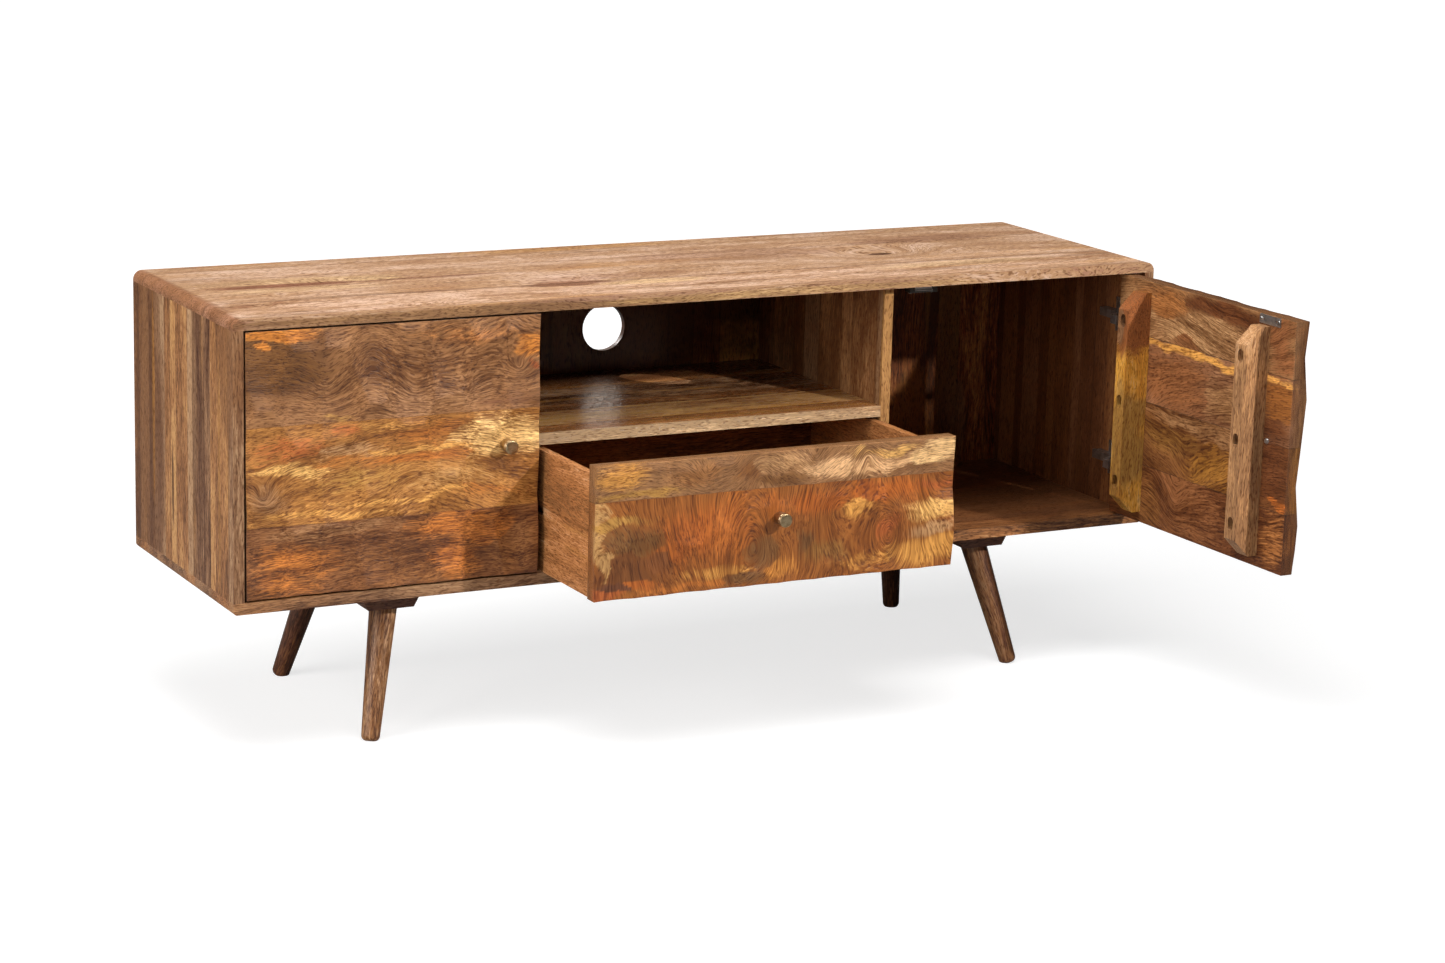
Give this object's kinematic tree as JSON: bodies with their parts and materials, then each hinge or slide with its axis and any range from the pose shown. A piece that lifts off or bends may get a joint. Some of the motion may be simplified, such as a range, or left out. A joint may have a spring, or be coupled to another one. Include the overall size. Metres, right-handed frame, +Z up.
{
  "type": "television stand",
  "caption": "Low wooden television stand on splayed turned legs: scooped hinged doors at both ends, an open middle bay with a cable hole over a sliding drawer.",
  "frame": {"origin": "floor level under the middle of the width, in the plane of the case's front edges", "axes": "+X to the right seen from the front, along the width; +Y from the front to the back; +Z up"},
  "size_m": [1.4527, 0.8184, 0.606],
  "materials": {
    "case_top_wood": "semi-gloss lacquer over lengthways hardwood boards",
    "case_side_wood": "semi-gloss lacquer over narrow upright strips of mixed tones",
    "case_bottom_wood": "semi-gloss lacquer over lengthways boards",
    "inner_strip_wood": "semi-gloss lacquer over narrow upright strips",
    "shelf_wood": "semi-gloss lacquer over lengthways boards with a yellow streak",
    "leg_wood": "darker brown semi-gloss lacquer",
    "left_door_wood": "satin lacquer over hand-scooped boards",
    "right_door_wood": "satin lacquer over hand-scooped boards",
    "drawer_front_wood": "satin lacquer over hand-scooped boards with strong swirled figure",
    "drawer_box_wood": "satin lacquer",
    "batten_wood": "satin lacquer",
    "knob_brass": "aged brass, satin",
    "hinge_steel": "nickel-plated pressed steel",
    "screw_steel": "zinc-plated",
    "catch_steel": "zinc-plated",
    "catch_plastic": "dark brown moulded"
  },
  "bodies": {
    "case": {"top_panel": "case_top_wood", "bottom_panel": "case_bottom_wood", "left_side_panel": "case_side_wood", "right_side_panel": "case_side_wood", "back_panel": "inner_strip_wood", "left_divider": "inner_strip_wood", "right_divider": "inner_strip_wood", "shelf": "shelf_wood", "front_left_leg_block": "leg_wood", "front_right_leg_block": "leg_wood", "rear_left_leg_block": "leg_wood", "rear_right_leg_block": "leg_wood", "front_left_leg": "leg_wood", "front_right_leg": "leg_wood", "rear_left_leg": "leg_wood", "rear_right_leg": "leg_wood", "leg_block_screws": "screw_steel", "left_guide_peg": "leg_wood", "right_guide_peg": "leg_wood", "left_catch": "catch_plastic", "right_catch": "catch_plastic", "catch_magnets": "catch_steel", "catch_screws": "screw_steel", "upper_left_hinge_arm": "hinge_steel", "lower_left_hinge_arm": "hinge_steel", "upper_right_hinge_arm": "hinge_steel", "lower_right_hinge_arm": "hinge_steel", "hinge_plates": "hinge_steel", "hinge_plate_screws": "screw_steel"},
    "left_door": {"left_door_panel": "left_door_wood", "left_door_hinge_batten": "batten_wood", "left_door_free_batten": "batten_wood", "left_batten_screws": "screw_steel", "left_strike_plate": "catch_steel", "left_strike_screws": "screw_steel", "left_hinge_cups": "hinge_steel", "left_cup_screws": "screw_steel", "left_door_knob": "knob_brass", "left_knob_bolt": "screw_steel"},
    "right_door": {"right_door_panel": "right_door_wood", "right_door_hinge_batten": "batten_wood", "right_door_free_batten": "batten_wood", "right_batten_screws": "screw_steel", "right_strike_plate": "catch_steel", "right_strike_screws": "screw_steel", "right_hinge_cups": "hinge_steel", "right_cup_screws": "screw_steel", "right_door_knob": "knob_brass", "right_knob_bolt": "screw_steel"},
    "drawer": {"drawer_front": "drawer_front_wood", "drawer_left_side": "drawer_box_wood", "drawer_right_side": "drawer_box_wood", "drawer_back": "drawer_box_wood", "drawer_bottom": "drawer_box_wood", "drawer_knob": "knob_brass", "drawer_knob_bolt": "screw_steel"}
  },
  "joints": [
    {"name": "left_door_hinge", "type": "hinge", "parent": "case", "child": "left_door", "pos_m": [-0.6955, 0.005, 0.4065], "axis": [0, 0, -1], "range_deg": [0, 105]},
    {"name": "right_door_hinge", "type": "hinge", "parent": "case", "child": "right_door", "pos_m": [0.6955, 0.005, 0.4065], "axis": [0, 0, 1], "range_deg": [-90.8, 14.2]},
    {"name": "drawer_slide", "type": "slide", "parent": "case", "child": "drawer", "axis": [0, -1, 0], "range_m": [-0.178, 0.007]}
  ]
}
